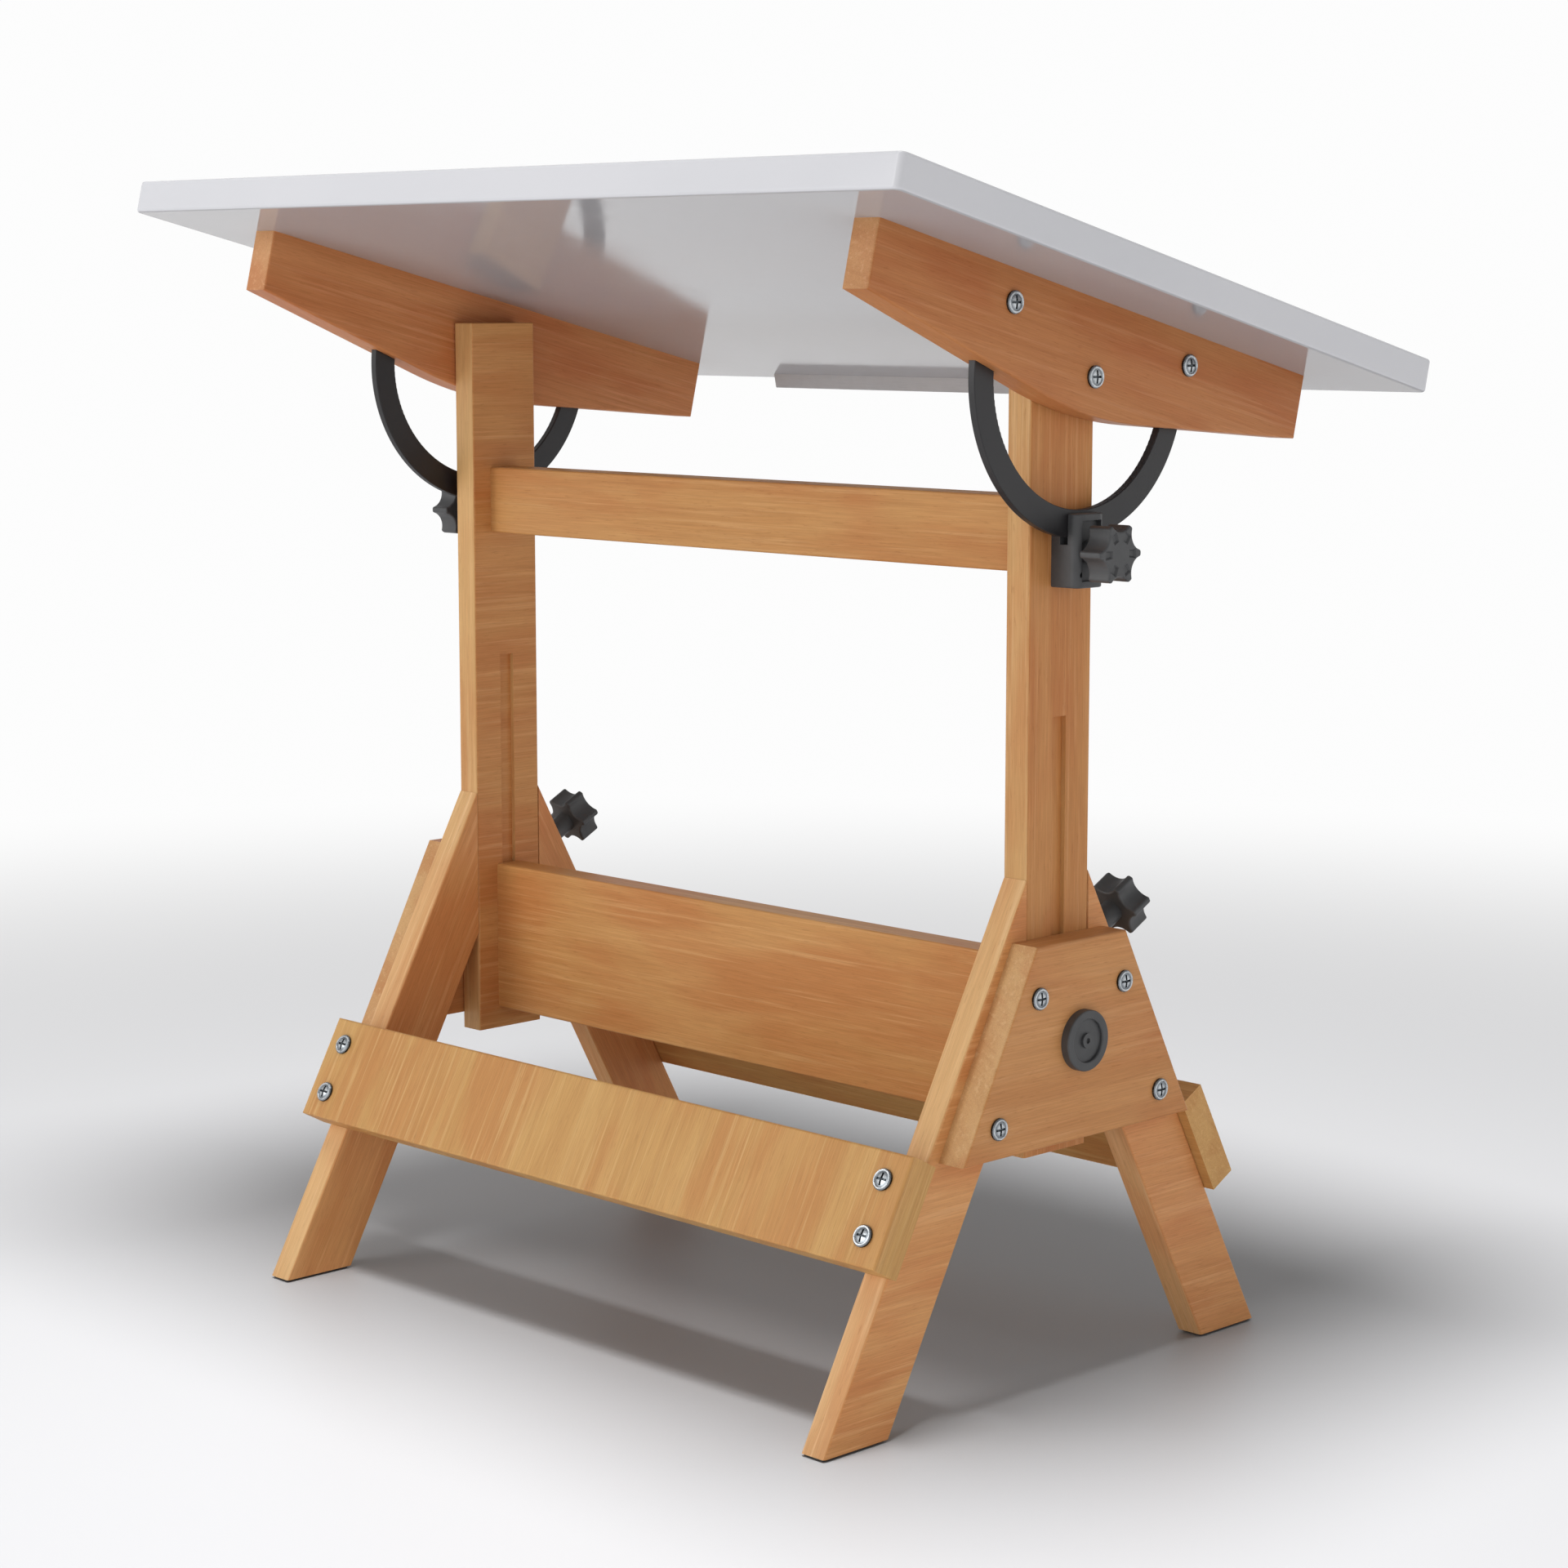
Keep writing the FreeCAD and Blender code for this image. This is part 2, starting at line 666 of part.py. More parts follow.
# ------------------------------------------------------------------ lift frame: posts, stretchers
def make_post(side):
    body = new_body(f"post_{SIDE_NAME[side]}")
    start = low_x(side, "post_inner", "post_thickness")
    profile = new_sketch(body, "YZ", start)
    draw_outline(profile, rectangle("-post_depth / 2", "post_bottom", "post_depth / 2", "post_top"))
    pad(body, profile, "post_thickness")
    outer = "post_inner + post_thickness"
    groove_starts = ["post_inner", f"{outer} - groove_depth"]
    if side == LEFT:
        groove_starts = ["-post_inner - groove_depth", f"-({outer})"]
    round_edges(body, "edge_round", runs_along(2))
    round_edges(body, "fine_round", at_level(2, number("post_top")))
    for groove_start in groove_starts:
        groove = new_sketch(body, "YZ", groove_start)
        draw_outline(groove, rectangle("-groove_width / 2", "groove_bottom",
                                       "groove_width / 2", "groove_top"))
        pocket(body, groove, "groove_depth")
    stud_places = [("pivot_offset", "pivot_height"), ("pivot_offset", "clamp_height")]
    for depth, radius in ((f"(insert_length + {END_GAP})", "insert_radius + running_gap"),
                          (f"(insert_length + {END_GAP + TIP_ROOM})", f"stud_radius + {HOLE_GAP}")):
        hole_start = f"{outer} - {depth}" if side == RIGHT else f"-({outer})"
        drill(body, "YZ", hole_start, depth, stud_places, radius)
    depth = "(dowel_length / 3)"
    dowel_start = "post_inner" if side == RIGHT else f"-post_inner - {depth} - {END_GAP}"
    places = [("0", height) for height in LOWER_DOWEL_HEIGHTS]
    places += [("groove_width / 2", height) for height in UPPER_DOWEL_HEIGHTS]
    drill(body, "YZ", dowel_start, f"{depth} + {END_GAP}", places, f"dowel_radius + {HOLE_GAP}")
    screw_depth = f"({BRACKET_SCREW_LENGTH + END_GAP} - {BRACKET_SCREW_SEAT})"
    screw_start = f"{outer} - {screw_depth}" if side == RIGHT else f"-({outer})"
    drill(body, "YZ", screw_start, screw_depth, bracket_screw_places(), f"{SMALL_SCREW_RADIUS + HOLE_GAP}")


def make_stretcher(name, low, high, thick, dowel_offset, dowel_heights):
    body = new_body(name)
    profile = new_sketch(body, "YZ", "-post_inner")
    draw_outline(profile, rectangle(f"-{thick} / 2", low, f"{thick} / 2", high))
    pad(body, profile, "2 * post_inner")
    round_edges(body, "edge_round", runs_along(0))
    depth = f"(dowel_length * 2 / 3 + {END_GAP})"
    places = [(dowel_offset, height) for height in dowel_heights]
    for start in ("-post_inner", f"post_inner - {depth}"):
        drill(body, "YZ", start, depth, places, f"dowel_radius + {HOLE_GAP}")


def make_frame_dowels():
    members = []
    middle = number("stand_centre")
    places = [(middle, height) for height in LOWER_DOWEL_HEIGHTS]
    places += [(middle + number("groove_width / 2"), height) for height in UPPER_DOWEL_HEIGHTS]
    for side in (LEFT, RIGHT):
        for index, (y, z) in enumerate(places):
            start = Vector(side * number("post_inner - dowel_length * 2 / 3"), y, z)
            members.append(cylinder(f"frame_dowel_{SIDE_NAME[side]}_{index}", start, outward(side),
                                    "dowel_radius", "dowel_length"))
    group("frame_dowels", members)


def bracket_screw_places():
    """One screw each side of the clamp stud, low on the bracket's base."""
    height = f"clamp_height - {BRACKET_SCREW_DROP}"
    return [(f"pivot_offset - {BRACKET_SCREW_ASIDE}", height),
            (f"pivot_offset + {BRACKET_SCREW_ASIDE}", height)]


def make_bracket(side):
    """Slotted block on the post's outer face; the arc runs in the slot above the clamp stud."""
    body = new_body(f"clamp_bracket_{SIDE_NAME[side]}")
    start = low_x(side, "post_inner + post_thickness", "bracket_reach")
    profile = new_sketch(body, "YZ", start)
    draw_outline(profile, rectangle("pivot_offset - bracket_half_width", "bracket_low",
                                    "pivot_offset + bracket_half_width", "bracket_high"))
    pad(body, profile, "bracket_reach")
    outer = "post_inner + post_thickness + bracket_reach"
    upright = runs_along(2)
    on_outer = at_level(0, side * number(outer))
    round_edges(body, "bracket_round", lambda edge: upright(edge) and on_outer(edge))
    round_edges(body, "fine_round", lambda edge: on_outer(edge) and not upright(edge))
    slot = new_sketch(body, "YZ", low_x(side, "arc_inner_face - arc_slot_gap",
                                        "arc_thickness + 2 * arc_slot_gap"))
    draw_outline(slot, rectangle("pivot_offset - 2 * bracket_half_width", "bracket_slot_floor",
                                 "pivot_offset + 2 * bracket_half_width", "bracket_high + 1"))
    pocket(body, slot, "arc_thickness + 2 * arc_slot_gap")
    hollow = new_sketch(body, "YZ", low_x(side, f"{outer} - bracket_hollow_depth", "bracket_hollow_depth"))
    half_hollow = "(bracket_half_width - bracket_rim)"
    draw_outline(hollow, rectangle(f"pivot_offset - {half_hollow}", "bracket_low + bracket_rim",
                                   f"pivot_offset + {half_hollow}", "bracket_high - bracket_rim"))
    pocket(body, hollow, "bracket_hollow_depth")
    drill(body, "YZ", start, "bracket_reach", [("pivot_offset", "clamp_height")],
          f"stud_radius + {HOLE_GAP}")
    drill(body, "YZ", start, "bracket_reach", bracket_screw_places(), f"{SMALL_SCREW_RADIUS + HOLE_GAP}")
    seat_depth = f"(bracket_reach - {BRACKET_SCREW_SEAT})"
    seat_start = low_x(side, f"{outer} - {seat_depth}", seat_depth)
    drill(body, "YZ", seat_start, seat_depth, bracket_screw_places(), f"{SMALL_HEAD_RADIUS + HOLE_GAP}")


def make_lift_fasteners():
    outer = number("post_inner + post_thickness")
    middle = number("stand_centre")
    pivot_y = number("stand_centre + pivot_offset")
    inserts, washers, pivots, brackets = [], [], [], []
    for side in (LEFT, RIGHT):
        for name, height in (("pivot", "pivot_height"), ("clamp", "clamp_height")):
            start = Vector(side * (outer - number("insert_length")), pivot_y, number(height))
            inserts.append(cylinder(f"{name}_insert_{SIDE_NAME[side]}", start, outward(side),
                                    "insert_radius", "insert_length", "stud_radius + running_gap"))
        start = Vector(side * outer, pivot_y, number("pivot_height"))
        washers.append(cylinder(f"pivot_washer_{SIDE_NAME[side]}", start, outward(side),
                                "washer_radius", "washer_thick", f"stud_radius + {HOLE_GAP}"))
        seat = Vector(side * (number("bearer_inner + bearer_thickness") + HOLE_GAP), pivot_y,
                      number("pivot_height"))
        pivots.append((seat, outward(side)))
        for across, along in bracket_screw_places():
            seat = Vector(side * (outer + BRACKET_SCREW_SEAT), middle + number(across), number(along))
            brackets.append((seat, outward(side)))
    group("post_inserts", inserts)
    group("pivot_washers", washers)
    pivot_length = ("bearer_inner + bearer_thickness - post_inner - post_thickness + insert_length"
                    f" + {HOLE_GAP}")
    pivot_master = screw_master("pivot_bolt_master", pivot_length, "stud_radius")
    screw_group("pivot_bolts", pivot_master, pivots)
    small_master = plain_screw_master("bracket_screw_master", BRACKET_SCREW_LENGTH)
    screw_group("bracket_screws", small_master, brackets)


# ------------------------------------------------------------------ board and what tilts with it
def make_board():
    body = board_body("board")
    profile = new_sketch(body, "YZ", "-board_width / 2")
    draw_outline(profile, rectangle("-board_front_reach", "board_lift",
                                    "board_back_reach", "board_lift + board_thickness"))
    pad(body, profile, "board_width")
    round_edges(body, "board_corner_round", runs_along(2))
    round_edges(body, "board_round", at_level(2, number("board_lift"),
                                              number("board_lift + board_thickness")))
    reach = f"{BOARD_DOWEL_HALF + END_GAP}"
    places = [(f"{side} * (bearer_inner + bearer_thickness / 2)", along)
              for side in (LEFT, RIGHT) for along in BOARD_DOWELS]
    drill(body, "XY", "board_lift", reach, places, f"{BOARD_DOWEL_RADIUS + HOLE_GAP}")
    ledge_depth = LEDGE_SCREW_LENGTH + END_GAP - LEDGE_SCREW_FLOOR
    drill(body, "XY", "board_lift", ledge_depth, ledge_screw_places(), f"{SMALL_SCREW_RADIUS + HOLE_GAP}")


def ledge_screw_places():
    return [(across, "-board_front_reach + ledge_under / 3") for across in LEDGE_SCREWS]


def make_bearer(side):
    """Boat-shaped rail: level on top, deepest at the tilt axis."""
    body = board_body(f"bearer_{SIDE_NAME[side]}")
    start = low_x(side, "bearer_inner", "bearer_thickness")
    profile = new_sketch(body, "YZ", start)
    draw_outline(profile, [
        ("bearer_half_length", "board_lift"), ("-bearer_half_length", "board_lift"),
        ("-bearer_half_length", "bearer_end_low"), ("-bearer_belly_half", "-bearer_knee_low"),
        ("bearer_belly_half", "-bearer_knee_low"), ("bearer_half_length", "bearer_end_low"),
    ], bulge=(3, ("0", "-bearer_belly_low")))
    pad(body, profile, "bearer_thickness")
    outer_faces = at_level(0, side * number("bearer_inner"),
                           side * number("bearer_inner + bearer_thickness"))
    under_board = at_level(2, number("board_lift"))
    round_edges(body, "edge_round", lambda edge: outer_faces(edge) and not under_board(edge))
    band_slot = new_sketch(body, "YZ", low_x(side, "arc_inner_face - arc_slot_gap",
                                             "arc_thickness + 2 * arc_slot_gap"))
    draw_circle(band_slot, "0", "0", "arc_outer_radius + arc_slot_gap")
    draw_circle(band_slot, "0", "0", "arc_inner_radius - arc_slot_gap")
    pocket(body, band_slot, "arc_thickness + 2 * arc_slot_gap")
    drill(body, "YZ", start, "bearer_thickness", [("0", "0")], "stud_radius + running_gap")
    depth = f"({ARC_SCREW_LENGTH + END_GAP})"
    hole_start = low_x(side, f"bearer_inner + bearer_thickness - {depth}", depth)
    drill(body, "YZ", hole_start, depth, arc_screw_places(), f"screw_radius + {HOLE_GAP}")
    dowel_floor = f"board_lift - {BOARD_DOWEL_HALF + END_GAP}"
    places = [(f"{side} * (bearer_inner + bearer_thickness / 2)", along) for along in BOARD_DOWELS]
    drill(body, "XY", dowel_floor, BOARD_DOWEL_HALF + END_GAP, places,
          f"{BOARD_DOWEL_RADIUS + HOLE_GAP}")


def arc_screw_places():
    return [("-arc_screw_front", "arc_screw_up"), ("arc_screw_rear", "arc_screw_up")]


def make_arc(side):
    """Flat band, an arc about the tilt axis, with its ends let into the bearer."""
    name = f"tilt_arc_{SIDE_NAME[side]}"
    body = board_body(name)
    start = low_x(side, "arc_inner_face", "arc_thickness")
    profile = new_sketch(body, "YZ", start)
    sweep_start = math.radians(180 - number("arc_end_angle"))
    sweep_end = math.radians(360 + number("arc_end_angle"))
    circles = [Part.Circle(Vector(0, 0, 0), Z_AXIS, number(radius))
               for radius in ("arc_outer_radius", "arc_inner_radius")]
    outer, inner = [profile.addGeometry(Part.ArcOfCircle(circle, sweep_start, sweep_end))
                    for circle in circles]
    ends = []
    for point in (1, 2):
        tips = [profile.getPoint(outer, point), profile.getPoint(inner, point)]
        end = profile.addGeometry(Part.LineSegment(*tips))
        profile.addConstraint(Sketcher.Constraint("Coincident", outer, point, end, 1))
        profile.addConstraint(Sketcher.Constraint("Coincident", inner, point, end, 2))
        ends.append(end)
    for arc, radius in ((outer, "arc_outer_radius"), (inner, "arc_inner_radius")):
        profile.addConstraint(Sketcher.Constraint("Coincident", arc, 3, -1, 1))
        constraint = profile.addConstraint(Sketcher.Constraint("Radius", arc, number(radius)))
        bind(profile, f"Constraints[{constraint}]", radius)
    for end, sign in ((ends[0], -1), (ends[1], 1)):
        reach = f"{sign} * arc_outer_radius * cos(arc_end_angle)"
        constraint = profile.addConstraint(Sketcher.Constraint("DistanceX", -1, 1, end, 1, number(reach)))
        bind(profile, f"Constraints[{constraint}]", reach)
        profile.addConstraint(Sketcher.Constraint("PointOnObject", -1, 1, end))
    pad(body, profile, "arc_thickness")
    round_edges(body, "arc_round", at_level(0, side * number("arc_inner_face"),
                                            side * number("arc_inner_face + arc_thickness")))
    drill(body, "YZ", start, "arc_thickness", arc_screw_places(), f"screw_radius + {HOLE_GAP}")


def make_ledge():
    """Solid strip: a wedge-shaped foot under the board and a lip standing in front of its edge."""
    body = board_body("pencil_ledge")
    profile = new_sketch(body, "YZ", "-ledge_half_length")
    back = "-board_front_reach + ledge_under"
    front = "-board_front_reach - ledge_front_thick"
    top = "board_lift + board_thickness + ledge_lip"
    deepest = "board_lift - ledge_drop"
    front_low = "board_lift - ledge_front_drop"
    draw_outline(profile, [
        (back, "board_lift"), ("-board_front_reach", "board_lift"), ("-board_front_reach", top),
        (front, top), (front, front_low), (f"{back} - ledge_rake", deepest),
    ])
    pad(body, profile, "2 * ledge_half_length")
    lengthwise = runs_along(0)
    outer_levels = at_level(2, number(top), number(front_low), number(deepest))
    round_edges(body, "fine_round", lambda edge: lengthwise(edge) and outer_levels(edge))
    drill(body, "XY", deepest, "ledge_drop", ledge_screw_places(), f"{SMALL_SCREW_RADIUS + HOLE_GAP}")
    drill(body, "XY", deepest, f"ledge_drop - {LEDGE_SCREW_FLOOR}", ledge_screw_places(),
          f"{SMALL_HEAD_RADIUS + HOLE_GAP}")


def make_board_fasteners():
    frame = board_placement()
    outer = number("bearer_inner + bearer_thickness")
    arc_master = screw_master("arc_screw_master", ARC_SCREW_LENGTH)
    places = []
    dowels = []
    for side in (LEFT, RIGHT):
        for along, up in arc_screw_places():
            seat = frame.multVec(Vector(side * outer, number(along), number(up)))
            places.append((seat, outward(side)))
        for index, along in enumerate(BOARD_DOWELS):
            foot = Vector(side * number("bearer_inner + bearer_thickness / 2"), along,
                          number("board_lift") - BOARD_DOWEL_HALF)
            dowels.append(cylinder(f"board_dowel_{SIDE_NAME[side]}_{index}", frame.multVec(foot),
                                   frame.Rotation.multVec(Z_AXIS), BOARD_DOWEL_RADIUS,
                                   2 * BOARD_DOWEL_HALF))
    screw_group("arc_screws", arc_master, places)
    group("board_dowels", dowels)

    small_master = plain_screw_master("ledge_screw_master", LEDGE_SCREW_LENGTH)
    down = frame.Rotation.multVec(-Z_AXIS)
    seats = [Vector(across, number(along), number("board_lift") - LEDGE_SCREW_FLOOR)
             for across, along in ledge_screw_places()]
    screw_group("ledge_screws", small_master, [(frame.multVec(seat), down) for seat in seats])


# ------------------------------------------------------------------ star knobs
def make_knob(name, placement, hub_length):
    """Star knob on its own axis: back of the star at z = 0, hub below it, a scoop in each lobe."""
    scoop_start, scoop_end = 13.2, 19.3
    scoop_start_half, scoop_end_half = 1.9, 2.6
    scoop_depth = 1.8
    scoop_flare = 43
    body = doc.addObject("PartDesign::Body", name)
    star = new_sketch(body, "XY")
    draw_circle(star, "0", "0", "knob_radius")
    pad(body, star, "knob_thick")
    scallop = new_sketch(body, "XY")
    draw_circle(scallop, "knob_valley_radius + knob_scallop_radius", "0", "knob_scallop_radius")
    repeat_round(body, pocket(body, scallop, "knob_thick"), star, "knob_count")
    round_edges(body, "knob_lobe_round", runs_along(2))
    round_edges(body, "knob_edge_round", at_level(2, number("knob_thick"), 0))
    scoop = new_sketch(body, "XY", f"knob_thick - {scoop_depth}")
    draw_outline(scoop, [
        (-scoop_start_half, scoop_start), (scoop_start_half, scoop_start),
        (scoop_end_half, scoop_end), (-scoop_end_half, scoop_end),
    ])
    repeat_round(body, pocket(body, scoop, scoop_depth, scoop_flare), star, "knob_count")
    hub = new_sketch(body, "XY", f"-({hub_length})")
    draw_circle(hub, "0", "0", "knob_hub_radius")
    pad(body, hub, hub_length)
    doc.recompute()
    drill(body, "XY", f"-({hub_length})", f"{hub_length} + {STUD_IN_KNOB + END_GAP}", [("0", "0")],
          f"stud_radius + {HOLE_GAP}")
    body.Placement = placement
    return name_subpart(body, name)


def make_knobs():
    clamp_y = number("stand_centre + pivot_offset")
    tip_step = Rotation(Z_AXIS, 90)
    for side in (LEFT, RIGHT):
        back = Vector(side * number("tilt_knob_start"), clamp_y, number("clamp_height"))
        turn = Rotation(Vector(0, 1, 0), side * 90)
        name = f"tilt_knob_{SIDE_NAME[side]}"
        make_knob(name, Placement(back, turn), "tilt_hub_length")
        tip_x = number("post_inner + post_thickness - insert_length") - END_GAP
        tip = Vector(side * tip_x, back.y, back.z)
        length = abs(back.x) + STUD_IN_KNOB - tip_x
        stud = cylinder(f"tilt_stud_{SIDE_NAME[side]}", tip, outward(side), "stud_radius", length)
        name_subpart(stud, f"tilt_stud_{SIDE_NAME[side]}")

        frame = leg_placement(FRONT)
        out = frame.Rotation.multVec(Vector(0, FRONT, 0))
        face = frame.multVec(Vector(side * number(LEG_MIDDLE), 0, number("height_knob_along")))
        name = f"height_knob_{SIDE_NAME[side]}"
        back = face + out * number("height_knob_start")
        make_knob(name, Placement(back, Rotation(Z_AXIS, out).multiply(tip_step)), "height_hub_length")
        # the stud's leading edge stops level with the leg's upright face
        from_middle = abs(face.y - number("stand_centre"))
        lean = math.radians(number("leg_lean"))
        depth = (from_middle - number(CUT_FACE) - number("stud_radius") * math.sin(lean)) / math.cos(lean)
        tip = face - out * depth
        length = depth + number("height_knob_start") + STUD_IN_KNOB
        stud = cylinder(f"height_stud_{SIDE_NAME[side]}", tip, out, "stud_radius", length)
        name_subpart(stud, f"height_stud_{SIDE_NAME[side]}")


# ------------------------------------------------------------------ the whole table
for each_side in (LEFT, RIGHT):
    for each_end in (FRONT, REAR):
        make_leg(each_side, each_end)
    make_gusset(each_side)
    make_post(each_side)
    make_bracket(each_side)
    make_bearer(each_side)
    make_arc(each_side)
for each_end in (FRONT, REAR):
    make_rail(each_end)
make_foot_pads()
make_base_screws()
make_guides()
make_height_inserts()
make_stretcher("upper_stretcher", "upper_stretcher_low", "upper_stretcher_high",
               "upper_stretcher_thick", "groove_width / 2", UPPER_DOWEL_HEIGHTS)
make_stretcher("lower_stretcher", "lower_stretcher_low", "lower_stretcher_high",
               "lower_stretcher_thick", "0", LOWER_DOWEL_HEIGHTS)
make_frame_dowels()
make_lift_fasteners()
make_board()
make_ledge()
make_board_fasteners()
make_knobs()

doc.recompute()
failed = [item.Name for item in doc.Objects if {"Invalid", "Error"} & set(item.State)]
if failed:
    raise RuntimeError(f"objects failed: {failed}")
for label, item in subparts.items():
    if item.Shape.isNull() or not item.Shape.isValid() or not item.Shape.Solids:
        raise RuntimeError(f"{label} has no valid solid")

os.makedirs("parts", exist_ok=True)
for label, item in subparts.items():
    item.Shape.exportStep(f"parts/{label}.step")

whole = FreeCAD.BoundBox()
for item in subparts.values():
    whole.add(item.Shape.BoundBox)
print(len(subparts), "sub-parts, box", whole)
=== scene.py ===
"""Looks for the drafting table: procedural materials on the CAD pieces, camera, lights and floor."""
import math

import bmesh
import bpy
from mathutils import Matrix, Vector

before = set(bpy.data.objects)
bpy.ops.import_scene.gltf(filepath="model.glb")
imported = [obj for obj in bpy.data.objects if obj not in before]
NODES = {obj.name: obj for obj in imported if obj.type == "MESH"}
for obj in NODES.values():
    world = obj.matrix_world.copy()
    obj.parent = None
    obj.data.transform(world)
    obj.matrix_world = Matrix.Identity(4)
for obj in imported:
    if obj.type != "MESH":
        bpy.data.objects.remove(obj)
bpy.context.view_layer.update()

SIDES = {"left": -1, "right": 1}

X_AXIS = Vector((1, 0, 0))
Y_AXIS = Vector((0, 1, 0))
Z_AXIS = Vector((0, 0, 1))
LEG_LEAN = math.radians(28.33)  # of a leg from upright
BOARD_TILT = math.radians(13.5)  # of the board as stored
STAND_CENTRE = 0.02156  # Y of the stand's middle
GUSSET_FACE = 0.4360  # a gusset's outer face, from the table's middle
BEARER_FACE = 0.4375  # and a bearer's
RAIL_FACE = 0.3014  # out along a rail's normal, from the floor under the stand's middle
REAR_LEG = Vector((0, -math.sin(LEG_LEAN), math.cos(LEG_LEAN)))  # up along a rear leg
FRONT_LEG = Vector((0, math.sin(LEG_LEAN), math.cos(LEG_LEAN)))
REAR_OUT = Vector((0, math.cos(LEG_LEAN), math.sin(LEG_LEAN)))  # out of a rear leg's sloping face
FRONT_OUT = Vector((0, -math.cos(LEG_LEAN), math.sin(LEG_LEAN)))
BOARD_UP = Vector((0, math.cos(BOARD_TILT), math.sin(BOARD_TILT)))  # up the board's slope
BOARD_OUT = Vector((0, -math.sin(BOARD_TILT), math.cos(BOARD_TILT)))
CRISP_ANGLE = math.radians(34)  # edges that turn more than this are shaded sharp


# ---------------------------------------------------------------- materials


MIX_SOCKETS = {"VECTOR": (4, 1), "RGBA": (6, 2)}  # a Mix node's first input and its output, by kind
SHEEN = 0.24  # specular level of the wood and the board
PITH_OFFSET = (0.16, 0.05, 0.0)  # the table's origin, seen from the middle of the rings
RING_STRETCH = 0.012  # how slowly the rings close along the grain
RING_WANDER = 0.055  # how far the rings stray from circles
RINGS_PER_METRE = 260.0
BANDS_PER_METRE = 62.0
SEED_STEP = (0.37, 0.61, 1.3)  # how far apart two seeds' figures lie
FLANK = 0.7  # a face looks along X when its normal has more than this of it
PORE_DEPTH = 0.00012  # of the wood's fibres and flecks
PEEL_DEPTH = 0.00003  # of the board's unevenness
MARK_DEPTH = 0.00003  # of the fine marks on metal
RECESS_SHADE_HEIGHTS = (0.0019, 0.0024)  # heights in a screw's head over which its painted shade goes from dark to grey
RIM_HIGHLIGHT_HEIGHTS = (0.0028, 0.0033)  # and over which its painted highlight goes from grey to bright
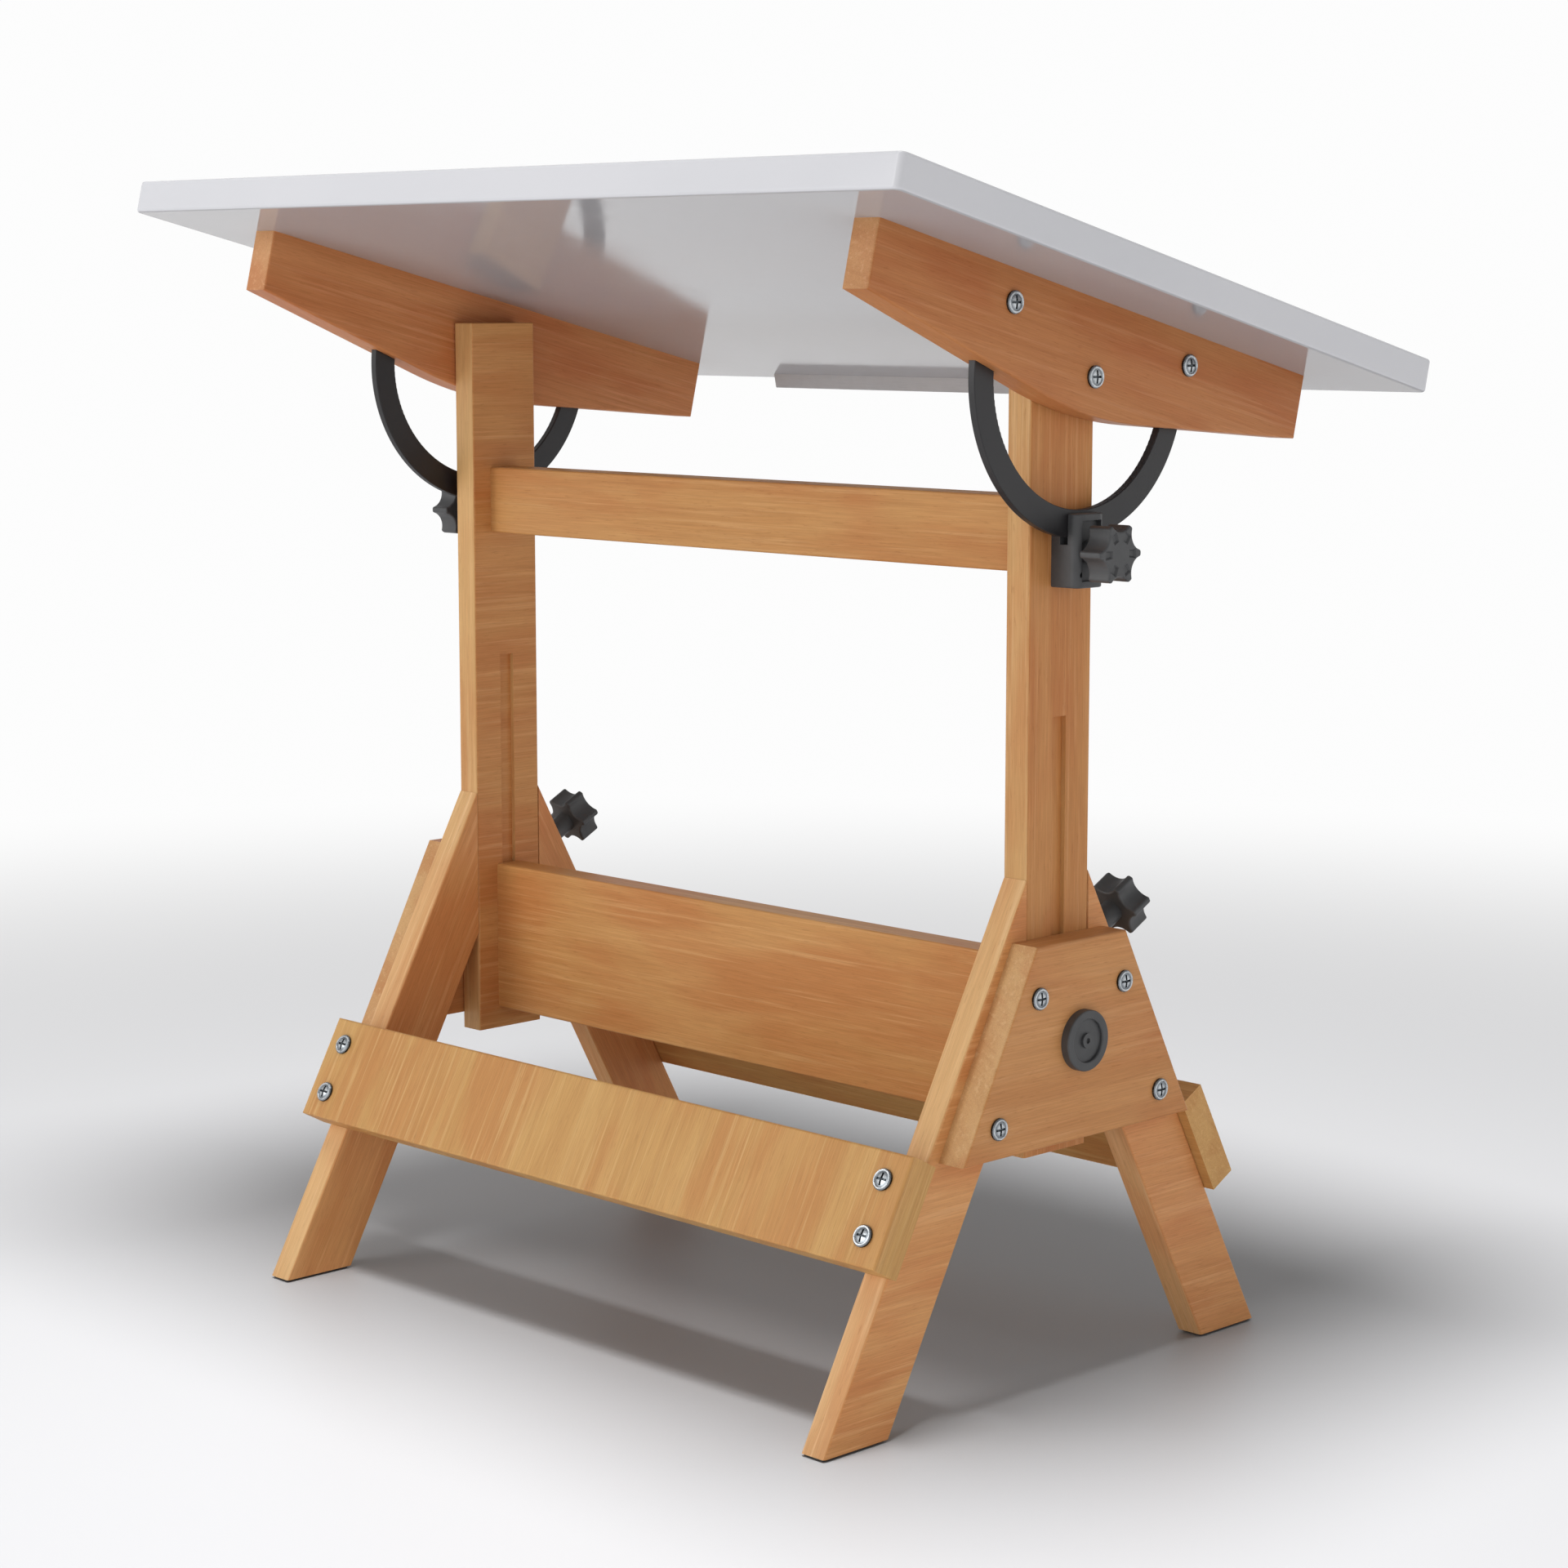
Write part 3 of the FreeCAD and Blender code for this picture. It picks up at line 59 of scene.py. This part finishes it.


class Graph:
    """A material's nodes. Inputs are numbers, colours or other nodes' sockets."""

    def __init__(self, name):
        self.material = bpy.data.materials.new(name)
        self.material.use_nodes = True
        self.nodes = self.material.node_tree.nodes
        self.links = self.material.node_tree.links
        self.shader = self.nodes["Principled BSDF"]
        coords = self.nodes.new("ShaderNodeTexCoord")
        self.place = coords.outputs["Object"]
        self.normal = coords.outputs["Normal"]

    def fill(self, socket, value):
        """Links the socket to value where that is a socket, or else sets it."""
        if isinstance(value, bpy.types.NodeSocket):
            self.links.new(value, socket)
        else:
            socket.default_value = value

    def set(self, **inputs):
        """Fills the shader's sockets: base_color="..." is its Base Color."""
        for name, value in inputs.items():
            label = name.replace("_", " ").title().replace("Ior", "IOR")
            self.fill(self.shader.inputs[label], value)

    def math(self, operation, a, b=0.0):
        node = self.nodes.new("ShaderNodeMath")
        node.operation = operation
        self.fill(node.inputs[0], a)
        self.fill(node.inputs[1], b)
        return node.outputs[0]

    def vector(self, operation, a, b=(0, 0, 0)):
        node = self.nodes.new("ShaderNodeVectorMath")
        node.operation = operation
        self.fill(node.inputs[0], a)
        self.fill(node.inputs[1], b)
        return node.outputs["Value" if operation in ("LENGTH", "DOT_PRODUCT") else "Vector"]

    def scaled(self, vector, factors):
        return self.vector("MULTIPLY", vector, factors)

    def facing(self, axis):
        """How squarely the surface faces along an axis, either way: 0 to 1."""
        return self.math("ABSOLUTE", self.vector("DOT_PRODUCT", self.normal, axis))

    def axes(self, vector, x_axis, y_axis, z_axis):
        """The vector's components along three axes, as one vector."""
        node = self.nodes.new("ShaderNodeCombineXYZ")
        for i, axis in enumerate((x_axis, y_axis, z_axis)):
            self.fill(node.inputs[i], self.vector("DOT_PRODUCT", vector, tuple(axis)))
        return node.outputs[0]

    def noise(self, vector, scale, detail=2.0, roughness=0.5, distortion=0.0):
        """Noise with scale cells in a unit of the vector."""
        node = self.nodes.new("ShaderNodeTexNoise")
        self.fill(node.inputs["Vector"], vector)
        self.fill(node.inputs["Scale"], scale)
        self.fill(node.inputs["Detail"], detail)
        self.fill(node.inputs["Roughness"], roughness)
        self.fill(node.inputs["Distortion"], distortion)
        return node.outputs["Fac"]

    def noise_line(self, value, detail=2.0, roughness=0.5):
        """Noise along one number."""
        node = self.nodes.new("ShaderNodeTexNoise")
        node.noise_dimensions = "1D"
        self.fill(node.inputs["W"], value)
        self.fill(node.inputs["Scale"], 1.0)
        self.fill(node.inputs["Detail"], detail)
        self.fill(node.inputs["Roughness"], roughness)
        return node.outputs["Fac"]

    def spread(self, value, low, high, to_low=0.0, to_high=1.0):
        """A smooth step: to_low where the value is low, and to_high where it is high."""
        node = self.nodes.new("ShaderNodeMapRange")
        node.interpolation_type = "SMOOTHSTEP"
        for socket, number in zip(node.inputs, (value, low, high, to_low, to_high)):
            self.fill(socket, number)
        return node.outputs[0]

    def blend(self, factor, a, b, kind="RGBA", mode="MIX"):
        """From a to b, which are colours, or vectors where kind is VECTOR."""
        node = self.nodes.new("ShaderNodeMix")
        node.data_type = kind
        node.blend_type = mode
        self.fill(node.inputs["Factor"], factor)
        first, result = MIX_SOCKETS[kind]
        self.fill(node.inputs[first], a)
        self.fill(node.inputs[first + 1], b)
        return node.outputs[result]

    def tinge(self, colour, pattern, low, high, amount, other):
        """Mixes up to amount of the other colour in, as the pattern goes from low to high."""
        return self.blend(self.math("MULTIPLY", self.spread(pattern, low, high), amount), colour, other)

    def bump(self, height, depth, strength=1.0):
        node = self.nodes.new("ShaderNodeBump")
        self.fill(node.inputs["Height"], height)
        self.fill(node.inputs["Distance"], depth)
        self.fill(node.inputs["Strength"], strength)
        self.fill(self.shader.inputs["Normal"], node.outputs["Normal"])


def rgb(red, green, blue):
    return (red, green, blue, 1.0)


def along_grain(graph, grain, face, cross):
    """The place as (out of the broad face, across, along the grain)."""
    along = graph.axes(graph.place, face, face.cross(grain), grain)
    if cross is None:
        return along
    over = graph.axes(graph.place, X_AXIS, X_AXIS.cross(cross), cross)
    return graph.blend(graph.math("GREATER_THAN", graph.facing(X_AXIS), FLANK), along, over, "VECTOR")


def wood(name, grain, face, seed, tint, cross, figure):
    """Oiled honey wood. Rings run along grain, and face is the broad face's normal. With cross, faces
    that look along X show their figure along that direction instead. Figure is the rings' strength."""
    graph = Graph(name)
    along = along_grain(graph, grain, face, cross)
    local = graph.vector("ADD", along, [seed * step for step in SEED_STEP])

    def marks(across_per_metre, along_per_metre, *options):
        """Noise with so many cells in a metre across the grain and along it."""
        cells = (across_per_metre, across_per_metre, along_per_metre)
        return graph.noise(graph.scaled(local, cells), 1.0, *options)

    def shade(red, green, blue):
        return rgb(red * tint[0], green * tint[1], blue * tint[2])

    wander = graph.math("MULTIPLY", graph.math("SUBTRACT", marks(5, 1.4, 3.0), 0.5), RING_WANDER)
    flat = graph.scaled(graph.vector("ADD", along, PITH_OFFSET), (1, 1, RING_STRETCH))
    radius = graph.math("ADD", graph.vector("LENGTH", flat), wander)
    rings = graph.noise_line(graph.math("MULTIPLY", radius, RINGS_PER_METRE), 3.0, 0.55)
    bands = graph.noise_line(graph.math("MULTIPLY", radius, BANDS_PER_METRE), 2.0)
    fibres = marks(950, 22, 4.0, 0.65)
    streaks = marks(210, 5, 3.0, 0.6)
    flecks = graph.spread(marks(620, 70, 2.0), 0.60, 0.74)
    clouds = marks(11, 4, 3.0, 0.55, 0.6)
    glow = marks(19, 2.6, 2.0, 0.5, 0.8)

    colour = shade(0.655, 0.330, 0.115)
    colour = graph.tinge(colour, bands, 0.28, 0.74, 0.50 * figure, shade(0.520, 0.225, 0.066))
    colour = graph.tinge(colour, rings, 0.44, 0.74, 0.34 * figure, shade(0.455, 0.180, 0.052))
    colour = graph.tinge(colour, clouds, 0.38, 0.64, 0.68, shade(0.570, 0.218, 0.068))
    colour = graph.tinge(colour, glow, 0.44, 0.66, 0.50, shade(0.715, 0.390, 0.148))
    colour = graph.tinge(colour, streaks, 0.52, 0.70, 0.50, shade(0.760, 0.430, 0.185))
    fine = graph.blend(graph.spread(fibres, 0.30, 0.72), rgb(0.90, 0.88, 0.85), rgb(1.05, 1.06, 1.08))
    colour = graph.blend(1.0, colour, fine, mode="MULTIPLY")
    if face == X_AXIS:
        # painted light: faces turned along Y, the narrow edges of boards on edge, are painted paler and more
        # golden than the broad faces, standing in for the side light that falls on them
        pale = graph.blend(graph.spread(graph.facing(Y_AXIS), 0.6, 0.8), rgb(1, 1, 1), rgb(1.07, 1.33, 1.58))
        colour = graph.blend(1.0, colour, pale, mode="MULTIPLY")
    colour = graph.blend(graph.math("MULTIPLY", flecks, 0.20), colour, shade(0.27, 0.095, 0.028))
    rough = graph.spread(fibres, 0.3, 0.7, 0.40, 0.50)
    rough = graph.math("ADD", rough, graph.math("MULTIPLY", flecks, 0.12))
    graph.set(base_color=colour, roughness=rough, specular_ior_level=SHEEN)
    height = graph.math("SUBTRACT", graph.math("MULTIPLY", fibres, 0.5), graph.math("MULTIPLY", flecks, 0.6))
    height = graph.math("ADD", height, graph.math("MULTIPLY", rings, 0.30))
    graph.bump(height, PORE_DEPTH, 0.7)
    return graph.material


def laminate():
    """Glossy white board: a faint unevenness in the gloss and a very fine peel. Painted shade darkens
    its underside, and painted light makes its top paler than its edges."""
    graph = Graph("board_white")
    blotch = graph.noise(graph.scaled(graph.place, (3, 3, 3)), 1.0, 3.0)
    dust = graph.noise(graph.place, 900.0, 2.0)
    edges = graph.blend(graph.spread(blotch, 0.35, 0.7), rgb(0.650, 0.652, 0.680), rgb(0.672, 0.672, 0.700))
    upright = graph.nodes.new("ShaderNodeSeparateXYZ")
    graph.fill(upright.inputs[0], graph.normal)
    # painted shade on the underside and painted light on the top, chosen by which way the surface faces
    painted_shade_below = graph.spread(upright.outputs["Z"], -0.75, -0.45, 1.0, 0.0)
    above = graph.spread(upright.outputs["Z"], 0.70, 0.90)
    colour = graph.blend(painted_shade_below, edges, rgb(0.445, 0.445, 0.465))
    colour = graph.blend(above, colour, rgb(0.760, 0.760, 0.775))
    colour = graph.tinge(colour, dust, 0.66, 0.8, 0.10, rgb(0.52, 0.52, 0.55))
    smears = graph.noise(graph.scaled(graph.place, (14, 14, 14)), 1.0, 4.0, 0.6, 0.8)
    gloss = graph.spread(smears, 0.3, 0.75, 0.07, 0.12)
    graph.set(base_color=colour, roughness=gloss, specular_ior_level=SHEEN)
    graph.bump(graph.noise(graph.place, 30.0, 2.0), PEEL_DEPTH, 0.3)
    return graph.material


def darker(tint, factor):
    """The tint as a colour, times factor."""
    return rgb(*[factor * part for part in tint])


def dark(name, low, high, rough, grit, depth):
    """Charcoal metal or moulding, from one shade to the other, with a tooth of grit cells in a metre."""
    graph = Graph(name)
    patches = graph.noise(graph.place, 38.0, 4.0)
    tooth = graph.noise(graph.place, grit, 3.0, 0.6)
    colour = graph.blend(graph.spread(patches, 0.3, 0.7), rgb(*low), rgb(*high))
    colour = graph.tinge(colour, tooth, 0.62, 0.78, 0.25, darker(high, 1.5))
    graph.set(base_color=colour, roughness=graph.spread(patches, 0.3, 0.7, rough - 0.05, rough + 0.05))
    graph.bump(tooth, depth, 0.6)
    return graph.material


def bright(name, tint, rough, stretch=(1, 1, 1), metallic=1.0, stained=0.86):
    """Bright or satin metal, with stains of so much of its tint. stretch draws its fine marks out
    into brushing."""
    graph = Graph(name)
    marks = graph.noise(graph.scaled(graph.place, stretch), 1400.0, 3.0, 0.6)
    stain = graph.noise(graph.place, 90.0, 3.0)
    colour = graph.blend(graph.spread(stain, 0.35, 0.7), rgb(*tint), darker(tint, stained))
    colour = graph.tinge(colour, marks, 0.5, 0.8, 0.18, darker(tint, 0.5))
    gloss = graph.spread(marks, 0.3, 0.7, rough - 0.05, rough + 0.07)
    graph.set(base_color=colour, roughness=gloss, metallic=metallic)
    graph.bump(marks, MARK_DEPTH, 0.5)
    return graph.material


def screw_metal(name, seat, slope=0.0):
    """Zinc, with painted highlight on a head's raised rim, and painted shade low down at its foot and in the
    cross. A head's underside is
    seat away from the middle: straight along X, or sideways along Y on a face that leans by slope."""
    graph = Graph(name)
    parts = graph.nodes.new("ShaderNodeSeparateXYZ")
    graph.fill(parts.inputs[0], graph.place)
    if slope:
        aside = graph.math("ABSOLUTE", graph.math("SUBTRACT", parts.outputs["Y"], STAND_CENTRE))
        outward = graph.math("ADD", graph.math("MULTIPLY", aside, math.cos(slope)),
                             graph.math("MULTIPLY", parts.outputs["Z"], math.sin(slope)))
    else:
        outward = graph.math("ABSOLUTE", parts.outputs["X"])
    above = graph.math("SUBTRACT", outward, seat)
    marks = graph.noise(graph.place, 1100.0, 3.0, 0.6)
    stain = graph.noise(graph.place, 240.0, 3.0)
    # painted shade: dark low in the head, in the cross and at its foot; painted highlight: bright on the
    # raised rim
    low = graph.blend(graph.spread(above, *RECESS_SHADE_HEIGHTS), rgb(0.035, 0.040, 0.045), rgb(0.24, 0.26, 0.28))
    colour = graph.blend(graph.spread(above, *RIM_HIGHLIGHT_HEIGHTS), low, rgb(0.62, 0.65, 0.67))
    colour = graph.tinge(colour, stain, 0.40, 0.66, 0.45, rgb(0.20, 0.23, 0.25))
    graph.set(base_color=colour, roughness=graph.spread(marks, 0.3, 0.7, 0.22, 0.34), metallic=0.9)
    graph.bump(marks, MARK_DEPTH, 0.5)
    return graph.material


def plain(name, tint, rough):
    """Nylon or rubber, with a soft mottle."""
    graph = Graph(name)
    mottle = graph.noise(graph.place, 120.0, 3.0)
    colour = graph.blend(graph.spread(mottle, 0.3, 0.7), rgb(*tint), darker(tint, 0.82))
    graph.set(base_color=colour, roughness=graph.spread(mottle, 0.3, 0.7, rough - 0.06, rough + 0.06))
    graph.bump(mottle, 0.0001, 0.4)
    return graph.material


def dress(node, material):
    """Gives the node this material alone."""
    mesh = NODES[node].data
    mesh.materials.clear()
    mesh.materials.append(material)


def wood_pieces():
    """Each wooden node with its grain and face directions, seed, tint, cross direction and figure."""
    rows = {
        "rail_rear": (REAR_LEG, REAR_OUT, 3, (1.00, 1.13, 1.12), None, 0.75),
        "rail_front": (X_AXIS, FRONT_OUT, 4, (1.00, 1.08, 1.04), None, 0.7),
        "upper_stretcher": (X_AXIS, Y_AXIS, 5, (0.86, 0.84, 0.78), None, 0.6),
        "lower_stretcher": (X_AXIS, Y_AXIS, 6, (0.99, 0.98, 0.93), None, 0.7),
        "board_dowels": (BOARD_OUT, X_AXIS, 7, (1.1, 1.1, 1.1), None, 0.6),
        "frame_dowels": (X_AXIS, Y_AXIS, 8, (1.1, 1.1, 1.1), None, 0.6),
    }
    for side, sign in SIDES.items():
        near = side == "left"
        # painted shade: the near side's tints are darker than the far side's, and redder on the bearers,
        # standing in for the shade on its outer faces; the bearers' ruddy tint is partly their own tone and
        # partly painted shade
        honey = (0.91, 0.82, 0.77) if near else (0.96, 0.88, 0.83)
        ruddy = (0.79, 0.62, 0.60) if near else (0.94, 0.75, 0.78)
        leg_cross = Y_AXIS if near else None
        post_cross = None if near else Y_AXIS
        rows["post_" + side] = (Z_AXIS, X_AXIS, 10 + sign, honey, post_cross, 0.6)
        rows["bearer_" + side] = (BOARD_UP, X_AXIS, 14 + sign, ruddy, None, 0.6)
        rows["gusset_" + side] = (Y_AXIS, X_AXIS, 18 + sign, (0.93, 0.85, 0.86), None, 0.6)
        rows["leg_rear_" + side] = (REAR_LEG, X_AXIS, 22 + sign, (1.12, 1.08, 1.14), leg_cross, 0.6)
        rows["leg_front_" + side] = (FRONT_LEG, X_AXIS, 26 + sign, (1.12, 1.03, 1.12), leg_cross, 0.6)
    return rows


for node, row in wood_pieces().items():
    dress(node, wood("wood_" + node, *row))

CHARCOAL = dark("charcoal_moulding", (0.050, 0.051, 0.053), (0.070, 0.071, 0.073), 0.46, 1500.0, 0.00008)
ARC_BLACK = dark("satin_black_arc", (0.011, 0.010, 0.011), (0.017, 0.016, 0.018), 0.42, 2200.0, 0.00005)
ZINC = bright("bright_zinc", (0.70, 0.71, 0.72), 0.24)
BEARER_ZINC = screw_metal("zinc_bearer_screws", BEARER_FACE)
BRASS_TINT = (0.62, 0.45, 0.18)
MATERIALS = {
    "board": laminate(),
    "pencil_ledge": bright("satin_aluminium", (0.53, 0.53, 0.54), 0.45, (0.03, 1, 1), 0.3, 0.97),
    "rail_screws": screw_metal("zinc_rail_screws", RAIL_FACE, LEG_LEAN),
    "gusset_screws": screw_metal("zinc_gusset_screws", GUSSET_FACE),
    "foot_pads": plain("black_rubber", (0.030, 0.030, 0.030), 0.7),
    "guide_shoes": plain("natural_nylon", (0.80, 0.79, 0.74), 0.45),
    "height_inserts": bright("brass_insert", BRASS_TINT, 0.32),
    "post_inserts": bright("brass_bush", BRASS_TINT, 0.32),
    "arc_screws": BEARER_ZINC,
    "pivot_bolts": BEARER_ZINC,
    "ledge_screws": ZINC,
    "bracket_screws": ZINC,
    "pivot_washers": ZINC,
    "guide_bolts": CHARCOAL,
}
for side in SIDES:
    for kind in ("tilt_stud_", "height_stud_"):
        MATERIALS[kind + side] = ZINC
    for kind in ("clamp_bracket_", "guide_cap_", "tilt_knob_", "height_knob_"):
        MATERIALS[kind + side] = CHARCOAL
    MATERIALS["tilt_arc_" + side] = ARC_BLACK
for node, material in MATERIALS.items():
    dress(node, material)

for thing in NODES.values():
    thing.data.shade_smooth()
    split = thing.modifiers.new("crisp_edges", "EDGE_SPLIT")
    split.split_angle = CRISP_ANGLE


# ---------------------------------------------------------------- camera, lights, floor

CAMERA_PLACE = (-2.44583, 2.38694, 1.01272)
CAMERA_YAW = -0.7784  # of its line of sight from +X
CAMERA_DROP = 0.1410  # of its line of sight below level
LENS_MM = 78.96
SENSOR_MM = 36.0
LEVEL_LIGHT = 0.92  # brightness of the room's light from level with the floor
TOP_LIGHT = 0.34  # and from overhead
TOP_HEIGHT = 0.75  # where overhead starts: a direction's Z
BACKDROP = 0.98  # brightness of the white surroundings as seen
FLOOR_RADIUS = 14.0
FLOOR_GAP = 0.0005  # below the foot pads
FLOOR_FADE = (0.9, 3.6)  # it turns into the surroundings between these distances from the middle
FLOOR_GREY = (0.270, 0.270, 0.276)
LIGHTS = {  # each disc's place, the point it looks at, its width and its watts
    "overhead": ((0.3, 0.6, 4.0), (0, 0, 0.3), 2.6, 45),
    "side": ((2.0, 4.2, 2.2), (0, 0, 0.6), 2.6, 58),
    "floor_light": ((-0.38, 0.5, 3.7), (-0.1, 0, 0), 1.4, 395),
}


def make_camera():
    """The photograph's own perspective."""
    data = bpy.data.cameras.new("camera")
    data.lens = LENS_MM
    data.sensor_width = SENSOR_MM
    camera = bpy.data.objects.new("camera", data)
    camera.location = CAMERA_PLACE
    camera.rotation_euler = (math.pi / 2 - CAMERA_DROP, 0, CAMERA_YAW - math.pi / 2)
    bpy.context.scene.collection.objects.link(camera)
    bpy.context.scene.camera = camera


def area_light(name, place, aim, size, watts):
    """A round soft light at place that looks at aim."""
    data = bpy.data.lights.new(name, "AREA")
    data.shape = "DISK"
    data.size = size
    data.energy = watts
    light = bpy.data.objects.new(name, data)
    light.location = place
    light.rotation_euler = (Vector(aim) - Vector(place)).to_track_quat("-Z", "Y").to_euler()
    bpy.context.scene.collection.objects.link(light)
    return light


def make_floor():
    """A wide pale disc, which fades into the white surroundings away from the table."""
    mesh = bpy.data.meshes.new("floor")
    shape = bmesh.new()
    bmesh.ops.create_circle(shape, cap_ends=True, segments=96, radius=FLOOR_RADIUS)
    shape.to_mesh(mesh)
    shape.free()
    floor = bpy.data.objects.new("floor", mesh)
    floor.location = (0, 0, -FLOOR_GAP)
    bpy.context.scene.collection.objects.link(floor)
    graph = Graph("pale_floor")
    fade = graph.spread(graph.vector("LENGTH", graph.place), *FLOOR_FADE)
    graph.set(base_color=rgb(*FLOOR_GREY), roughness=0.5, specular_ior_level=0.3)
    glow = graph.nodes.new("ShaderNodeEmission")
    glow.inputs["Color"].default_value = rgb(1, 1, 1)
    glow.inputs["Strength"].default_value = BACKDROP
    blend = graph.nodes.new("ShaderNodeMixShader")
    graph.fill(blend.inputs[0], fade)
    graph.links.new(graph.shader.outputs[0], blend.inputs[1])
    graph.links.new(glow.outputs[0], blend.inputs[2])
    graph.links.new(blend.outputs[0], graph.nodes["Material Output"].inputs["Surface"])
    mesh.materials.append(graph.material)
    return floor


def make_world():
    """White surroundings to the camera, and a room lit from the sides to everything else."""
    world = bpy.data.worlds.new("studio")
    world.use_nodes = True
    nodes = world.node_tree.nodes
    links = world.node_tree.links
    back = nodes["Background"]
    way = nodes.new("ShaderNodeTexCoord")
    height = nodes.new("ShaderNodeSeparateXYZ")
    rise = nodes.new("ShaderNodeMapRange")
    rise.interpolation_type = "SMOOTHSTEP"
    for socket, number in zip(list(rise.inputs)[1:], (0.0, TOP_HEIGHT, LEVEL_LIGHT, TOP_LIGHT)):
        socket.default_value = number
    links.new(way.outputs["Generated"], height.inputs[0])
    links.new(height.outputs["Z"], rise.inputs[0])
    links.new(rise.outputs[0], back.inputs["Strength"])
    back.inputs["Color"].default_value = rgb(1, 1, 1)
    seen = nodes.new("ShaderNodeBackground")
    seen.inputs["Color"].default_value = rgb(*[BACKDROP] * 3)
    rays = nodes.new("ShaderNodeLightPath")
    blend = nodes.new("ShaderNodeMixShader")
    links.new(rays.outputs["Is Camera Ray"], blend.inputs[0])
    links.new(back.outputs[0], blend.inputs[1])
    links.new(seen.outputs[0], blend.inputs[2])
    links.new(blend.outputs[0], nodes["World Output"].inputs["Surface"])
    bpy.context.scene.world = world


make_camera()
floor = make_floor()
make_world()
lights = {name: area_light(name, *row) for name, row in LIGHTS.items()}
floor_only = bpy.data.collections.new("floor_only")
floor_only.objects.link(floor)
lights["floor_light"].light_linking.receiver_collection = floor_only

bpy.context.scene.view_settings.view_transform = "Standard"
